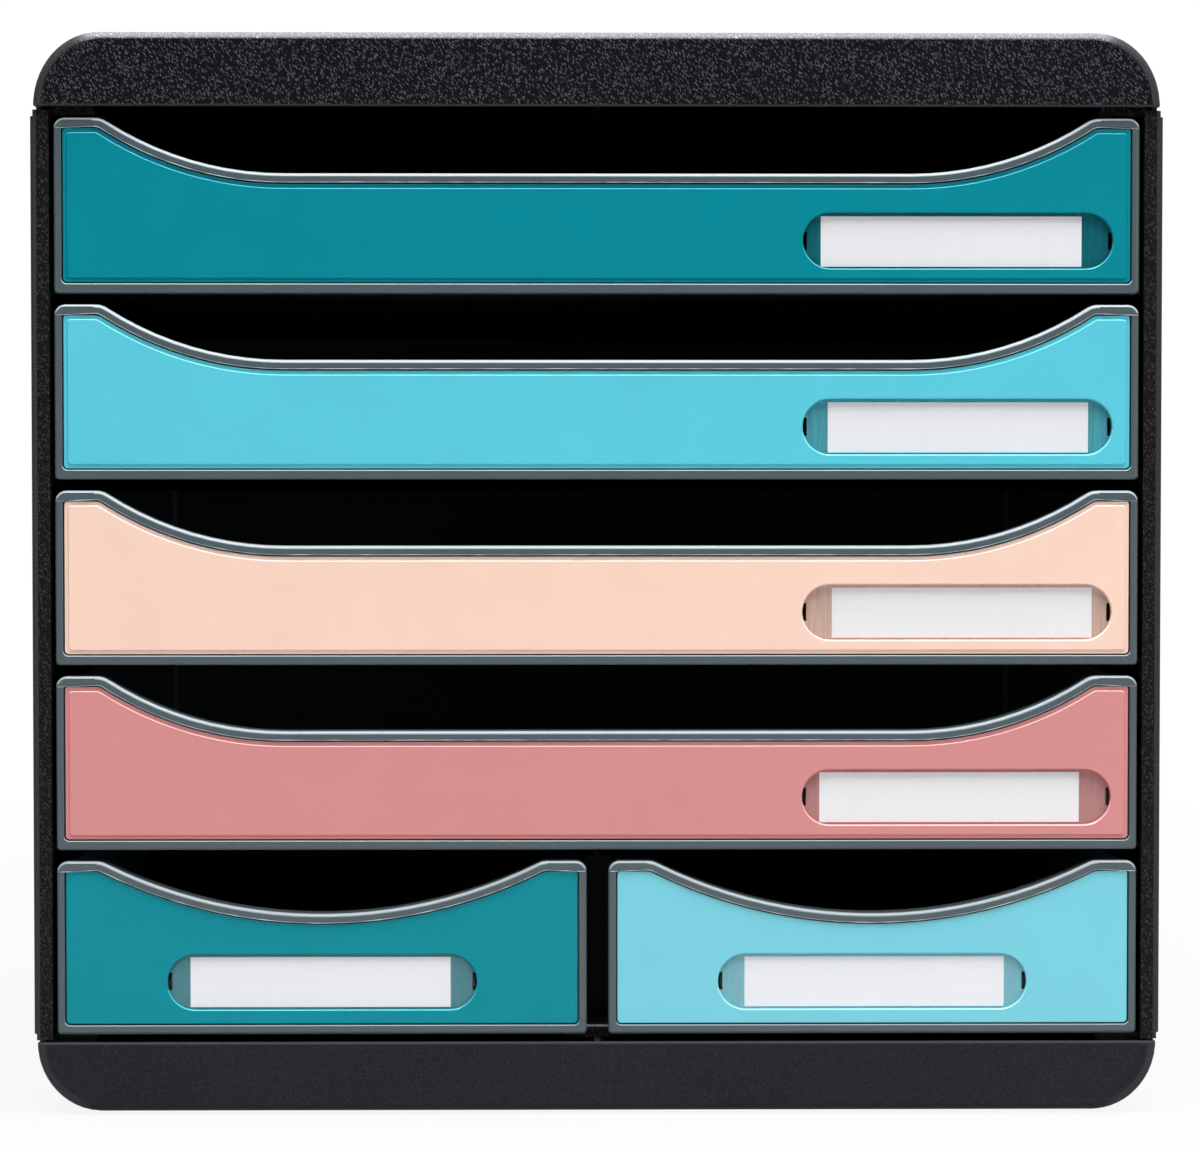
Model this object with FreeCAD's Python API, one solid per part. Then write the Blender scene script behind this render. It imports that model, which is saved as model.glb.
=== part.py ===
import FreeCAD, Part
import math
import os

# Desktop drawer unit: a black plastic casing with four wide drawers and two half-width ones.
# Millimetres, +Z up, the front looks along -Y, the origin is under the middle of the unit
# on the surface that it stands on.

V = FreeCAD.Vector
os.makedirs("parts", exist_ok=True)

# Overall size
UNIT_WIDTH = 355.0
UNIT_DEPTH = 270.0
UNIT_HEIGHT = 339.5
HALF_WIDTH = UNIT_WIDTH / 2
BACK_Y = UNIT_DEPTH / 2
CAP_FRONT_Y = -UNIT_DEPTH / 2
FOOT_STAND_OFF = 1.0

# Modelling margins: how far a cutter runs past a solid, how deep a piece runs into the one
# it is joined to, and how near a face or edge must be to count as lying at a level
PAST = 1.0
INTO = 0.5
NEAR = 0.01
FINE = 1e-6

# Caps
TOP_CAP_HEIGHT = 23.0
BOTTOM_CAP_HEIGHT = 21.7
CAP_HALF_WIDTH = 176.3
CAP_END_REACH = 20.5
CAP_WALL = 2.5
CAP_EDGE_ROUND = 2.5
CAP_RIM_ROUND = 0.45
CAP_OVERHANG = 2.0
TONGUE_INSET = 0.9
TONGUE_WALL = 1.6
TOP_TONGUE = 1.15
BOTTOM_TONGUE = 0.65
TONGUE_ROOT = 2.0
TONGUE_CORNER_INSET = 1.0
RIB_WALL = 1.6
RIB_HEIGHT = 1.6
RIB_X = (-120.0, -60.0, 60.0, 120.0)
RIB_Y = (-66.0, 0.0, 66.0)
MIDDLE_RIB_HALF = 1.0

# Side panels
FRONT_Y = CAP_FRONT_Y + CAP_OVERHANG
PANEL_BACK_Y = BACK_Y - 1.0
PANEL_WALL = 2.5
PANEL_EDGE_ROUND = 2.0
POST_WIDTH = 5.95
POST_DEPTH = 6.0
FLANGE_STEP = 1.0
FLANGE_THICKNESS = 1.35
FLANGE_REACH = 20.0
FLANGE_SET_BACK = 4.0
FLANGE_BACK_Y = 127.0
LEDGE_THICKNESS = 2.0
LEDGE_REACH = 20.0
PANEL_BODY_GAP = 0.6

# Back panel
BACK_SHEET_Y = 130.0
BACK_SHEET = 2.0
BACK_HALF_WIDTH = 174.6
BACK_TAB_HALF_WIDTH = 168.0
BACK_TAB_REACH = 4.0
GROOVE_RIB = 2.2
GROOVE_RIB_REACH = 4.0
GROOVE_PLAY = 0.15
BACK_FIELD_HALF_WIDTH = 156.0
BACK_FIELD_MARGIN = 20.0
BACK_FIELD_STEP = 0.8
BACK_FIELD_CORNER = 6.0
BACK_FIELD_ROUND = 0.6

# Drawer fronts
ROWS = 5
ROW_PITCH = 58.3
FRONT_HEIGHT = 54.8
TOP_ROW_TOP = 313.0
FRONT_DEPTH = 8.0
FRONT_HALF = 170.1
SMALL_GAP = 6.8
RIM = 3.0
RIM_END_TRIM = 0.55
PANEL_PLAY = 0.4
RECESS_DEPTH = 3.0
WEB = 2.5
CORNER_PATCH_WIDTH = 12.3
CORNER_PATCH_HEIGHT = 3.3
CORNER_PATCH_STEP = 0.12
TOP_CORNER_ROUND = 3.5
BOTTOM_CORNER_ROUND = 1.3
LIP_CORNER_ROUND = 6.5
LEAST_CORNER_ROUND = 1.0
RECESS_CORNER_ROUND = 1.6
RIM_OUTER_ROUND = 1.2
RIM_INNER_ROUND = 0.35
LIP_BACK_ROUND = 0.6

# Scoops, the low middle of each front
LARGE_SCOOP_RADIUS = 102.0
LARGE_SCOOP_FLAT_HALF = 98.4
LARGE_SCOOP_DEPTH = 17.3
SMALL_SCOOP_RADIUS = 152.5
SMALL_SCOOP_DEPTH = 16.7

# Trays
TRAY_WALL = 2.0
TRAY_HALF = 168.0
TRAY_UNDERSIDE = 2.0
TRAY_TOP = 53.6
TRAY_BACK_Y = 126.0
TRAY_CORNER_ROUND = 8.0
TRAY_FOOT_ROUND = 1.5
RUNNING_GAP = 0.3
TRAVEL = 205.0
FIN_THICKNESS = 3.0
FIN_BOTTOM = 12.0
FIN_TOP = 32.0
FIN_REACH = 5.0
INNER_FIN_REACH = 3.5

# Face panels
PANEL_SET_BACK = 0.6
FIELD_STEP = 0.5
FIELD_BORDER = 1.25
FIELD_ROUND = 0.35
PANEL_ROUND = 0.25
PANEL_CORNER_ROUND = 1.2
FIELD_CORNER_ROUND = 1.0

# Label windows
WINDOW_LENGTH = 97.4
WINDOW_HEIGHT = 17.5
WINDOW_UP = 16.55
LARGE_WINDOW_X = 113.1
WINDOW_FLOOR = 0.9
WINDOW_PLAY = 0.35
COVER_DROP = 0.2
WINDOW_THICKNESS = 1.15
WINDOW_ROUND = 0.3
WINDOW_BACK_GAP = 0.1
RECESS_ROUND = 0.4
SLOT_WIDTH = 1.4
SLOT_HEIGHT = 5.6
HOOK_HEIGHT = 3.0
HOOK_THICKNESS = 0.8
HOOK_DEPTH = 3.6
HOOK_SET_BACK = 0.35
NUB_SET_BACK = 0.3
NUB_PLAY = 0.05
NUB_WIDTH = 0.8
NUB_STEP = 25.5
LABEL_LENGTH = 82.0
LABEL_HEIGHT = 15.8
LABEL_THICKNESS = 0.15

# Centre divider
DIVIDER_WEB = 2.4
DIVIDER_BACK_GAP = 0.1
DIVIDER_FOOT_HALF = 12.5
DIVIDER_FOOT_WALL = 1.5
DIVIDER_FOOT_END = 2.0
DIVIDER_RUNNER = 1.6
DIVIDER_GUIDE_HALF = 9.0
DIVIDER_GUIDE = 1.8
DIVIDER_GUIDE_GAP = 1.0
DIVIDER_GUIDE_FRONT_Y = -90.0
DIVIDER_POST_HALF = 4.6
DIVIDER_POST_FRONT_Y = -108.0
DIVIDER_POST_DEPTH = 6.0
DIVIDER_LIP_X = 1.2
DIVIDER_LIP = 1.6
DIVIDER_LIP_HALF = 120.0
DIVIDER_LIP_DROP = 5.0
DIVIDER_FRONT_ROUND = 0.8

# Feet and screws
FOOT_RADIUS = 8.0
FOOT_THICKNESS = 2.0
FOOT_PLAY = 0.2
FOOT_CHAMFER = 0.4
FOOT_X = 140.0
FOOT_Y = 105.0
SCREW_X = 166.0
SCREW_Y = 100.0
SCREW_RADIUS = 1.5
SCREW_HOLE_RADIUS = 1.55
SCREW_LENGTH = 11.0
SCREW_HOLE_DEPTH = 12.0
SCREW_HEAD_RADIUS = 3.2
SCREW_HEAD = 1.7
SCREW_HEAD_ROUND = 0.7
SCREW_SLOT_HALF = 1.6
SCREW_SLOT_WIDTH = 0.7
SCREW_SLOT_DEPTH = 0.9
SCREW_SINK_RADIUS = 3.6
BOSS_RADIUS = 4.0

# Levels that follow from the sizes above
BOTTOM_CAP_TOP = FOOT_STAND_OFF + BOTTOM_CAP_HEIGHT
TOP_CAP_BOTTOM = UNIT_HEIGHT - TOP_CAP_HEIGHT
FLANGE_LOW = BOTTOM_CAP_TOP + BOTTOM_TONGUE
FLANGE_HIGH = TOP_CAP_BOTTOM - TOP_TONGUE
POST_BACK_Y = FRONT_Y + POST_DEPTH
LEDGE_FRONT_Y = FRONT_Y + FRONT_DEPTH + RUNNING_GAP
WEB_Y = FRONT_Y + RECESS_DEPTH
SMALL_HALF = (FRONT_HALF - SMALL_GAP / 2) / 2
SMALL_CENTRE = SMALL_GAP / 2 + SMALL_HALF
SMALL_TRAY_HALF = SMALL_HALF - (FRONT_HALF - TRAY_HALF)


def row_bottom(row):
    """Height of a drawer front's lower edge, with row 1 at the top."""
    return TOP_ROW_TOP - (row - 1) * ROW_PITCH - FRONT_HEIGHT


def block(x, y, z):
    """A box between the low and high values of each axis."""
    size = [abs(side[1] - side[0]) for side in (x, y, z)]
    return Part.makeBox(size[0], size[1], size[2], V(min(x), min(y), min(z)))


def post(radius, x, y, low, high):
    """An upright round bar."""
    return Part.makeCylinder(radius, high - low, V(x, y, low), V(0, 0, 1))


def corners(x, y):
    """One place in each quarter of the unit."""
    return [(-x, -y), (-x, y), (x, -y), (x, y)]


def mirrored_x(shape):
    """The same piece for the other side of the unit."""
    return shape.mirror(V(0, 0, 0), V(1, 0, 0))


def joined(shapes):
    """One solid of several that touch or overlap."""
    return shapes[0].multiFuse(shapes[1:]).removeSplitter()


def on_circle(centre, radius, degrees):
    """The point of a circle in the X-Z plane at an angle from +X towards +Z."""
    angle = math.radians(degrees)
    return V(centre.x + radius * math.cos(angle), centre.y, centre.z + radius * math.sin(angle))


def arc(centre, radius, start, end):
    """A circular edge in the X-Z plane between two angles."""
    points = [on_circle(centre, radius, a) for a in (start, (start + end) / 2, end)]
    return Part.Arc(points[0], points[1], points[2]).toShape()


def chain(pieces):
    """A closed wire from arcs, with straight edges between the end of one and the start of the next."""
    edges = []
    for here, following in zip(pieces, pieces[1:] + pieces[:1]):
        edges.append(here)
        end = here.valueAt(here.LastParameter)
        start = following.valueAt(following.FirstParameter)
        if end.distanceToPoint(start) > FINE:
            edges.append(Part.makeLine(end, start))
    return Part.Wire(edges)


def plate(wire, thickness):
    """A wire in the X-Z plane made into a solid that runs back along +Y."""
    return Part.Face(wire).extrude(V(0, thickness, 0))


def faces_at_y(shape, y):
    """The flat faces of a shape that lie in one plane across Y."""
    return [f for f in shape.Faces if f.BoundBox.YLength < FINE and abs(f.BoundBox.YMin - y) < NEAR]


def outer_edges(shape, y):
    """Outer edges of the largest flat face at that Y."""
    face = max(faces_at_y(shape, y), key=lambda f: f.Area)
    return face.OuterWire.Edges


def inner_edges(shape, y):
    """Edges round the openings of the largest flat face at that Y."""
    face = max(faces_at_y(shape, y), key=lambda f: f.Area)
    return [e for w in face.Wires if not w.isSame(face.OuterWire) for e in w.Edges]


# Caps

def cap_profile(height, inset, y):
    """Outline of a cap across the front: a flat rim below, quarter-ellipse ends and a flat top."""
    centre_x = CAP_HALF_WIDTH - CAP_END_REACH
    ends = []
    for side, start in ((-1, -math.pi / 2), (1, 0)):
        centre = V(side * centre_x, y, UNIT_HEIGHT - height)
        top = centre + V(0, 0, height - inset)
        right = centre + V(CAP_END_REACH - inset, 0, 0)
        ends.append(Part.ArcOfEllipse(Part.Ellipse(top, right, centre), start, start + math.pi / 2).toShape())
    return chain(ends)


def cap_ribs(height, hollow):
    """Low stiffening ribs under the cap's skin, and the tall middle one that the divider straddles."""
    roof = UNIT_HEIGHT - CAP_WALL
    ribs = []
    for x in RIB_X:
        across = (x - RIB_WALL / 2, x + RIB_WALL / 2)
        ribs.append(block(across, (-BACK_Y, BACK_Y), (roof - RIB_HEIGHT, roof)))
    for y in RIB_Y:
        across = (y - RIB_WALL / 2, y + RIB_WALL / 2)
        ribs.append(block((-HALF_WIDTH, HALF_WIDTH), across, (roof - RIB_HEIGHT, roof)))
    middle = (-MIDDLE_RIB_HALF, MIDDLE_RIB_HALF)
    ribs.append(block(middle, (-BACK_Y, BACK_SHEET_Y - GROOVE_PLAY), (UNIT_HEIGHT - height, roof)))
    return [rib.common(hollow) for rib in ribs]


def cap_tongue(height, drop):
    """The narrow tongue that stands on a side panel's flange and leaves the shadow groove."""
    outer = CAP_HALF_WIDTH - TONGUE_INSET
    inner = outer - TONGUE_WALL
    front = CAP_FRONT_Y + CAP_WALL
    rim_z = UNIT_HEIGHT - height
    z = (rim_z - drop, rim_z + TONGUE_ROOT)
    side = block((inner, outer), (front, FLANGE_BACK_Y), z)
    corner_y = FRONT_Y + FLANGE_SET_BACK + TONGUE_WALL / 2
    corner_x = HALF_WIDTH - FLANGE_REACH + TONGUE_CORNER_INSET
    corner = block((corner_x, outer), (corner_y, corner_y + TONGUE_WALL), z)
    return [side, corner, mirrored_x(side), mirrored_x(corner)]


def cap(height, drop):
    """The top cap. The bottom cap is the same form, a little lower, turned upside down."""
    rim_z = UNIT_HEIGHT - height
    shell = plate(cap_profile(height, 0, CAP_FRONT_Y), UNIT_DEPTH)
    above_rim = rim_z + PAST
    ends = [e for y in (CAP_FRONT_Y, BACK_Y) for e in outer_edges(shell, y) if e.BoundBox.ZMax > above_rim]
    shell = shell.makeFillet(CAP_EDGE_ROUND, ends)
    level = [f for f in shell.Faces if f.BoundBox.ZLength < FINE and f.BoundBox.ZMin < above_rim]
    rim = max(level, key=lambda f: f.Area)
    shell = shell.makeFillet(CAP_RIM_ROUND, rim.OuterWire.Edges)
    hollow = plate(cap_profile(height, CAP_WALL, CAP_FRONT_Y + CAP_WALL), UNIT_DEPTH - 2 * CAP_WALL)
    boss_low = rim_z - drop
    under_rim = block((-HALF_WIDTH, HALF_WIDTH), (-BACK_Y, BACK_Y), (boss_low, rim_z))
    boss_room = hollow.fuse(under_rim)
    places = corners(SCREW_X, SCREW_Y)
    bosses = [post(BOSS_RADIUS, x, y, boss_low, UNIT_HEIGHT).common(boss_room) for x, y in places]
    body = joined([shell.cut(hollow)] + cap_ribs(height, hollow) + cap_tongue(height, drop) + bosses)
    for x, y in places:
        body = body.cut(post(SCREW_HOLE_RADIUS, x, y, boss_low, boss_low + SCREW_HOLE_DEPTH))
    return body


def make_bottom_cap():
    """The lower cap, with shallow pockets for the feet."""
    upright = cap(BOTTOM_CAP_HEIGHT, BOTTOM_TONGUE)
    turned = upright.mirror(V(0, 0, (UNIT_HEIGHT + FOOT_STAND_OFF) / 2), V(0, 0, 1))
    for x, y in corners(FOOT_X, FOOT_Y):
        turned = turned.cut(post(FOOT_RADIUS + FOOT_PLAY, x, y, 0, FOOT_THICKNESS))
    return turned


# Side panels

def ledge(row):
    """The runner that a drawer of that row slides on, for the right-hand panel."""
    top = row_bottom(row) + TRAY_UNDERSIDE - RUNNING_GAP
    return block((HALF_WIDTH - LEDGE_REACH, HALF_WIDTH - PANEL_WALL + INTO),
                 (LEDGE_FRONT_Y, BACK_SHEET_Y - GROOVE_PLAY - GROOVE_RIB), (top - LEDGE_THICKNESS, top))


def make_right_side_panel():
    """Outer wall, front post, flanges, runners and the ribs that hold the back sheet."""
    low = FLANGE_LOW + FLANGE_THICKNESS
    high = FLANGE_HIGH - FLANGE_THICKNESS
    inner_face = HALF_WIDTH - PANEL_WALL
    depth = (FRONT_Y, PANEL_BACK_Y)
    wall = block((inner_face, HALF_WIDTH), depth, (low + PANEL_BODY_GAP, high - PANEL_BODY_GAP))
    front_post = block((HALF_WIDTH - POST_WIDTH, HALF_WIDTH), (FRONT_Y, POST_BACK_Y),
                       (low + PANEL_BODY_GAP, high - PANEL_BODY_GAP))
    outer = wall.fuse(front_post).removeSplitter()
    front_corner = [e for e in outer.Edges if e.BoundBox.ZLength > UNIT_HEIGHT / 2
                    and abs(e.BoundBox.YMax - FRONT_Y) < NEAR and abs(e.BoundBox.XMin - HALF_WIDTH) < NEAR]
    outer = outer.makeFillet(PANEL_EDGE_ROUND, front_corner)
    solids = [outer]
    step_x = HALF_WIDTH - FLANGE_STEP
    stepped = (low - INTO, high + INTO)
    solids.append(block((inner_face, step_x), (POST_BACK_Y - INTO, PANEL_BACK_Y), stepped))
    solids.append(block((HALF_WIDTH - POST_WIDTH, step_x), (FRONT_Y, POST_BACK_Y), stepped))
    flange_y = (FRONT_Y + FLANGE_SET_BACK, FLANGE_BACK_Y)
    for z in ((FLANGE_LOW, low), (high, FLANGE_HIGH)):
        solids.append(block((HALF_WIDTH - FLANGE_REACH, step_x), flange_y, z))
        solids.append(block((HALF_WIDTH - POST_WIDTH, step_x), (FRONT_Y, POST_BACK_Y), z))
    solids.extend(ledge(row) for row in range(1, ROWS + 1))
    for y in (BACK_SHEET_Y - GROOVE_PLAY - GROOVE_RIB, BACK_SHEET_Y + BACK_SHEET + GROOVE_PLAY):
        rib_end = min(y + GROOVE_RIB, PANEL_BACK_Y)
        solids.append(block((inner_face - GROOVE_RIB_REACH, inner_face + INTO), (y, rib_end), (low, high)))
    body = joined(solids)
    sink_top = row_bottom(ROWS) + TRAY_UNDERSIDE
    for y in (-SCREW_Y, SCREW_Y):
        for z in ((FLANGE_LOW, sink_top), (high, FLANGE_HIGH)):
            body = body.cut(post(SCREW_HOLE_RADIUS, SCREW_X, y, z[0], z[1]))
        body = body.cut(post(SCREW_SINK_RADIUS, SCREW_X, y, low, sink_top))
    return body


# Back panel

def make_back_panel():
    """A sheet in the side panels' grooves, with tabs that tuck into both caps and a raised field outside."""
    y = (BACK_SHEET_Y, BACK_SHEET_Y + BACK_SHEET)
    sheet = block((-BACK_HALF_WIDTH, BACK_HALF_WIDTH), y, (FLANGE_LOW, FLANGE_HIGH))
    tabs = block((-BACK_TAB_HALF_WIDTH, BACK_TAB_HALF_WIDTH), y,
                 (BOTTOM_CAP_TOP - BACK_TAB_REACH, TOP_CAP_BOTTOM + BACK_TAB_REACH))
    field = block((-BACK_FIELD_HALF_WIDTH, BACK_FIELD_HALF_WIDTH), (BACK_SHEET_Y, y[1] + BACK_FIELD_STEP),
                  (FLANGE_LOW + BACK_FIELD_MARGIN, FLANGE_HIGH - BACK_FIELD_MARGIN))
    field = field.makeFillet(BACK_FIELD_CORNER, [e for e in field.Edges if e.BoundBox.YLength > BACK_SHEET])
    field = field.makeFillet(BACK_FIELD_ROUND, outer_edges(field, y[1] + BACK_FIELD_STEP))
    return joined([sheet, tabs, field])


# Centre divider

def make_centre_divider():
    """Foot with a runner each side, thin web, front post that stops the drawers, and a top guide."""
    foot_top = row_bottom(ROWS) + TRAY_UNDERSIDE - RUNNING_GAP
    tray_top = row_bottom(ROWS) + TRAY_TOP
    guide_low = tray_top + DIVIDER_GUIDE_GAP
    back = BACK_SHEET_Y - DIVIDER_BACK_GAP
    foot = block((-DIVIDER_FOOT_HALF, DIVIDER_FOOT_HALF), (LEDGE_FRONT_Y, back), (BOTTOM_CAP_TOP, foot_top))
    front_top = [e for e in foot.Edges if e.BoundBox.XLength > PAST and e.BoundBox.ZMin > foot_top - NEAR
                 and e.BoundBox.YMax < LEDGE_FRONT_Y + NEAR]
    foot = foot.makeFillet(DIVIDER_FRONT_ROUND, front_top)
    lip_outer = DIVIDER_LIP_X + DIVIDER_LIP
    pocket_y = (LEDGE_FRONT_Y + DIVIDER_FOOT_END, back - DIVIDER_FOOT_END)
    lips = []
    for side in (-1, 1):
        pocket_x = (side * lip_outer, side * (DIVIDER_FOOT_HALF - DIVIDER_FOOT_WALL))
        foot = foot.cut(block(pocket_x, pocket_y, (BOTTOM_CAP_TOP, foot_top - DIVIDER_RUNNER)))
        lips.append(block((side * DIVIDER_LIP_X, side * lip_outer), (-DIVIDER_LIP_HALF, DIVIDER_LIP_HALF),
                          (BOTTOM_CAP_TOP - DIVIDER_LIP_DROP, BOTTOM_CAP_TOP + INTO)))
    web = block((-DIVIDER_WEB / 2, DIVIDER_WEB / 2), (DIVIDER_POST_FRONT_Y + INTO, back),
                (foot_top - INTO, guide_low + INTO))
    post_y = (DIVIDER_POST_FRONT_Y, DIVIDER_POST_FRONT_Y + DIVIDER_POST_DEPTH)
    front_post = block((-DIVIDER_POST_HALF, DIVIDER_POST_HALF), post_y, (foot_top - INTO, tray_top))
    guide = block((-DIVIDER_GUIDE_HALF, DIVIDER_GUIDE_HALF), (DIVIDER_GUIDE_FRONT_Y, back),
                  (guide_low, guide_low + DIVIDER_GUIDE))
    return joined([foot, web, front_post, guide] + lips)


# Feet and screws

def make_rubber_feet():
    """Four round pads in the bottom cap's pockets."""
    pads = []
    for x, y in corners(FOOT_X, FOOT_Y):
        pad = post(FOOT_RADIUS, x, y, 0, FOOT_THICKNESS)
        rim = [e for e in pad.Edges if e.BoundBox.ZMax < NEAR]
        pads.append(pad.makeChamfer(FOOT_CHAMFER, rim))
    return Part.makeCompound(pads)


def screw(x, y, seat, up):
    """A pan-head screw. Its head sits on the seat and its shank points up or down."""
    face_z = seat - up * SCREW_HEAD
    head = Part.makeCylinder(SCREW_HEAD_RADIUS, SCREW_HEAD, V(x, y, seat), V(0, 0, -up))
    rim = [e for e in head.Edges if abs(e.BoundBox.ZMin - face_z) < NEAR and e.BoundBox.ZLength < FINE]
    head = head.makeFillet(SCREW_HEAD_ROUND, rim)
    slot_z = (face_z, face_z + up * SCREW_SLOT_DEPTH)
    cross = []
    for along, across in ((SCREW_SLOT_HALF, SCREW_SLOT_WIDTH / 2), (SCREW_SLOT_WIDTH / 2, SCREW_SLOT_HALF)):
        cross.append(block((x - along, x + along), (y - across, y + across), slot_z))
    shank = Part.makeCylinder(SCREW_RADIUS, SCREW_LENGTH, V(x, y, seat), V(0, 0, up))
    return head.fuse(shank).removeSplitter().cut(cross)


def make_casing_screws():
    """Eight screws: two through each flange into the bosses of the caps."""
    low = FLANGE_LOW + FLANGE_THICKNESS
    high = FLANGE_HIGH - FLANGE_THICKNESS
    screws = []
    for x, y in corners(SCREW_X, SCREW_Y):
        screws.append(screw(x, y, low, -1))
        screws.append(screw(x, y, high, 1))
    return Part.makeCompound(screws)


# Drawer fronts

def front_outline(half, small, inset, y, low_round):
    """Outline of a drawer front about its own middle, from its lower edge up, moved inwards by inset.

    The rim is narrower at both ends than above and below, so an inset counts for less there.
    """
    right = half - max(0.0, inset - RIM_END_TRIM)
    top = FRONT_HEIGHT - inset
    radius = (SMALL_SCOOP_RADIUS if small else LARGE_SCOOP_RADIUS) + inset
    depth = SMALL_SCOOP_DEPTH if small else LARGE_SCOOP_DEPTH
    flat_half = 0.0 if small else LARGE_SCOOP_FLAT_HALF
    high_round = max(TOP_CORNER_ROUND - inset, LEAST_CORNER_ROUND)
    lip_round = LIP_CORNER_ROUND - inset
    scoop_z = FRONT_HEIGHT - depth - inset + radius
    rise = scoop_z - (top - lip_round)
    lip_x = flat_half + math.sqrt((radius + lip_round) ** 2 - rise ** 2)
    lip_angle = math.degrees(math.atan2(rise, lip_x - flat_half))
    bottom_right = arc(V(right - low_round, y, inset + low_round), low_round, -90, 0)
    top_right = arc(V(right - high_round, y, top - high_round), high_round, 0, 90)
    lip_right = arc(V(lip_x, y, top - lip_round), lip_round, 90, 180 - lip_angle)
    lip_left = arc(V(-lip_x, y, top - lip_round), lip_round, lip_angle, 90)
    top_left = arc(V(-right + high_round, y, top - high_round), high_round, 90, 180)
    bottom_left = arc(V(-right + low_round, y, inset + low_round), low_round, 180, 270)
    if small:
        scoops = [arc(V(0, y, scoop_z), radius, -lip_angle, lip_angle - 180)]
    else:
        scoops = [arc(V(flat_half, y, scoop_z), radius, -lip_angle, -90),
                  arc(V(-flat_half, y, scoop_z), radius, -90, lip_angle - 180)]
    return chain([bottom_right, top_right, lip_right] + scoops + [lip_left, top_left, bottom_left])


def window_x(small):
    """Middle of the label window from the middle of the drawer."""
    return 0.0 if small else LARGE_WINDOW_X


def obround(x, z, length, height, y):
    """Outline of a slot with round ends."""
    reach = (length - height) / 2
    right = arc(V(x + reach, y, z), height / 2, -90, 90)
    left = arc(V(x - reach, y, z), height / 2, 90, 270)
    return chain([right, left])


def hook_slots(small, y, depth):
    """The slots at both ends of the label window, as solids to cut away."""
    slots = []
    for side in (-1, 1):
        end = window_x(small) + side * WINDOW_LENGTH / 2
        slots.append(block((end, end - side * SLOT_WIDTH), (y, y + depth),
                           (WINDOW_UP - SLOT_HEIGHT / 2, WINDOW_UP + SLOT_HEIGHT / 2)))
    return slots


# Trays

def make_front_frame(half, small):
    """The rim that stands round the face panel, the web behind it, and the corners' set-back patches."""
    solid = plate(front_outline(half, small, 0, FRONT_Y, BOTTOM_CORNER_ROUND), FRONT_DEPTH)
    solid = solid.cut(plate(front_outline(half, small, RIM, FRONT_Y, RECESS_CORNER_ROUND), RECESS_DEPTH))
    rear = WEB_Y + WEB
    solid = solid.cut(plate(front_outline(half, small, RIM, rear, RECESS_CORNER_ROUND), FRONT_DEPTH))
    solid = solid.makeFillet(RIM_OUTER_ROUND, outer_edges(solid, FRONT_Y))
    solid = solid.makeFillet(RIM_INNER_ROUND, inner_edges(solid, FRONT_Y))
    solid = solid.makeFillet(LIP_BACK_ROUND, outer_edges(solid, FRONT_Y + FRONT_DEPTH))
    for side in (-1, 1):
        solid = solid.cut(block((side * (half - CORNER_PATCH_WIDTH), side * half),
                                (FRONT_Y - PAST, FRONT_Y + CORNER_PATCH_STEP),
                                (FRONT_HEIGHT - CORNER_PATCH_HEIGHT, FRONT_HEIGHT)))
    return solid


def make_tray_box(half):
    """Floor, side walls and back wall, open at the top and closed by the front's web."""
    y = (WEB_Y, TRAY_BACK_Y)
    outer = block((-half, half), y, (TRAY_UNDERSIDE, TRAY_TOP))
    outer = rounded_box(outer, TRAY_CORNER_ROUND, TRAY_FOOT_ROUND)
    inner = block((-half + TRAY_WALL, half - TRAY_WALL), (y[0] + WEB, y[1] - TRAY_WALL),
                  (TRAY_UNDERSIDE + TRAY_WALL, TRAY_TOP + PAST))
    inner = rounded_box(inner, TRAY_CORNER_ROUND - TRAY_WALL, TRAY_FOOT_ROUND)
    return outer.cut(inner)


def rounded_box(box, corner, foot):
    """Rounds a box's two upright back edges, then its lower edges except the front one."""
    back = box.BoundBox.YMax
    front = box.BoundBox.YMin
    low = box.BoundBox.ZMin
    upright = [e for e in box.Edges if e.BoundBox.ZLength > PAST and abs(e.BoundBox.YMin - back) < NEAR]
    box = box.makeFillet(corner, upright)
    lower = [e for e in box.Edges if e.BoundBox.ZMax < low + NEAR and e.BoundBox.YMax > front + NEAR]
    return box.makeFillet(foot, lower)


def stop_fin(half, side, reach, stop_y):
    """The fin on a tray's side that meets the casing when the drawer is fully out."""
    y = stop_y + TRAVEL + RUNNING_GAP
    return block((side * (half - INTO), side * (half + reach)), (y, y + FIN_THICKNESS), (FIN_BOTTOM, FIN_TOP))


def make_tray(small, inner_side):
    """One moulding: front frame, tray box and stop fins, about its own middle and lower edge."""
    half = SMALL_HALF if small else FRONT_HALF
    tray_half = SMALL_TRAY_HALF if small else TRAY_HALF
    frame = make_front_frame(half, small)
    box_cut = make_tray_box(tray_half)
    divider_stop = DIVIDER_POST_FRONT_Y + DIVIDER_POST_DEPTH
    fins = []
    for side in (-1, 1):
        if side == inner_side:
            fins.append(stop_fin(tray_half, side, INNER_FIN_REACH, divider_stop))
        else:
            fins.append(stop_fin(tray_half, side, FIN_REACH, POST_BACK_Y))
    above_front = plate(front_outline(half, small, 0, WEB_Y, BOTTOM_CORNER_ROUND), FRONT_DEPTH - RECESS_DEPTH)
    front_zone = block((-half, half), (WEB_Y - PAST, FRONT_Y + FRONT_DEPTH), (0, FRONT_HEIGHT + PAST))
    box_cut = box_cut.cut(front_zone.cut(above_front))
    body = joined([frame, box_cut] + fins)
    for slot in hook_slots(small, WEB_Y - PAST, WEB + 2 * PAST):
        body = body.cut(slot)
    return body


# Face panels

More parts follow.
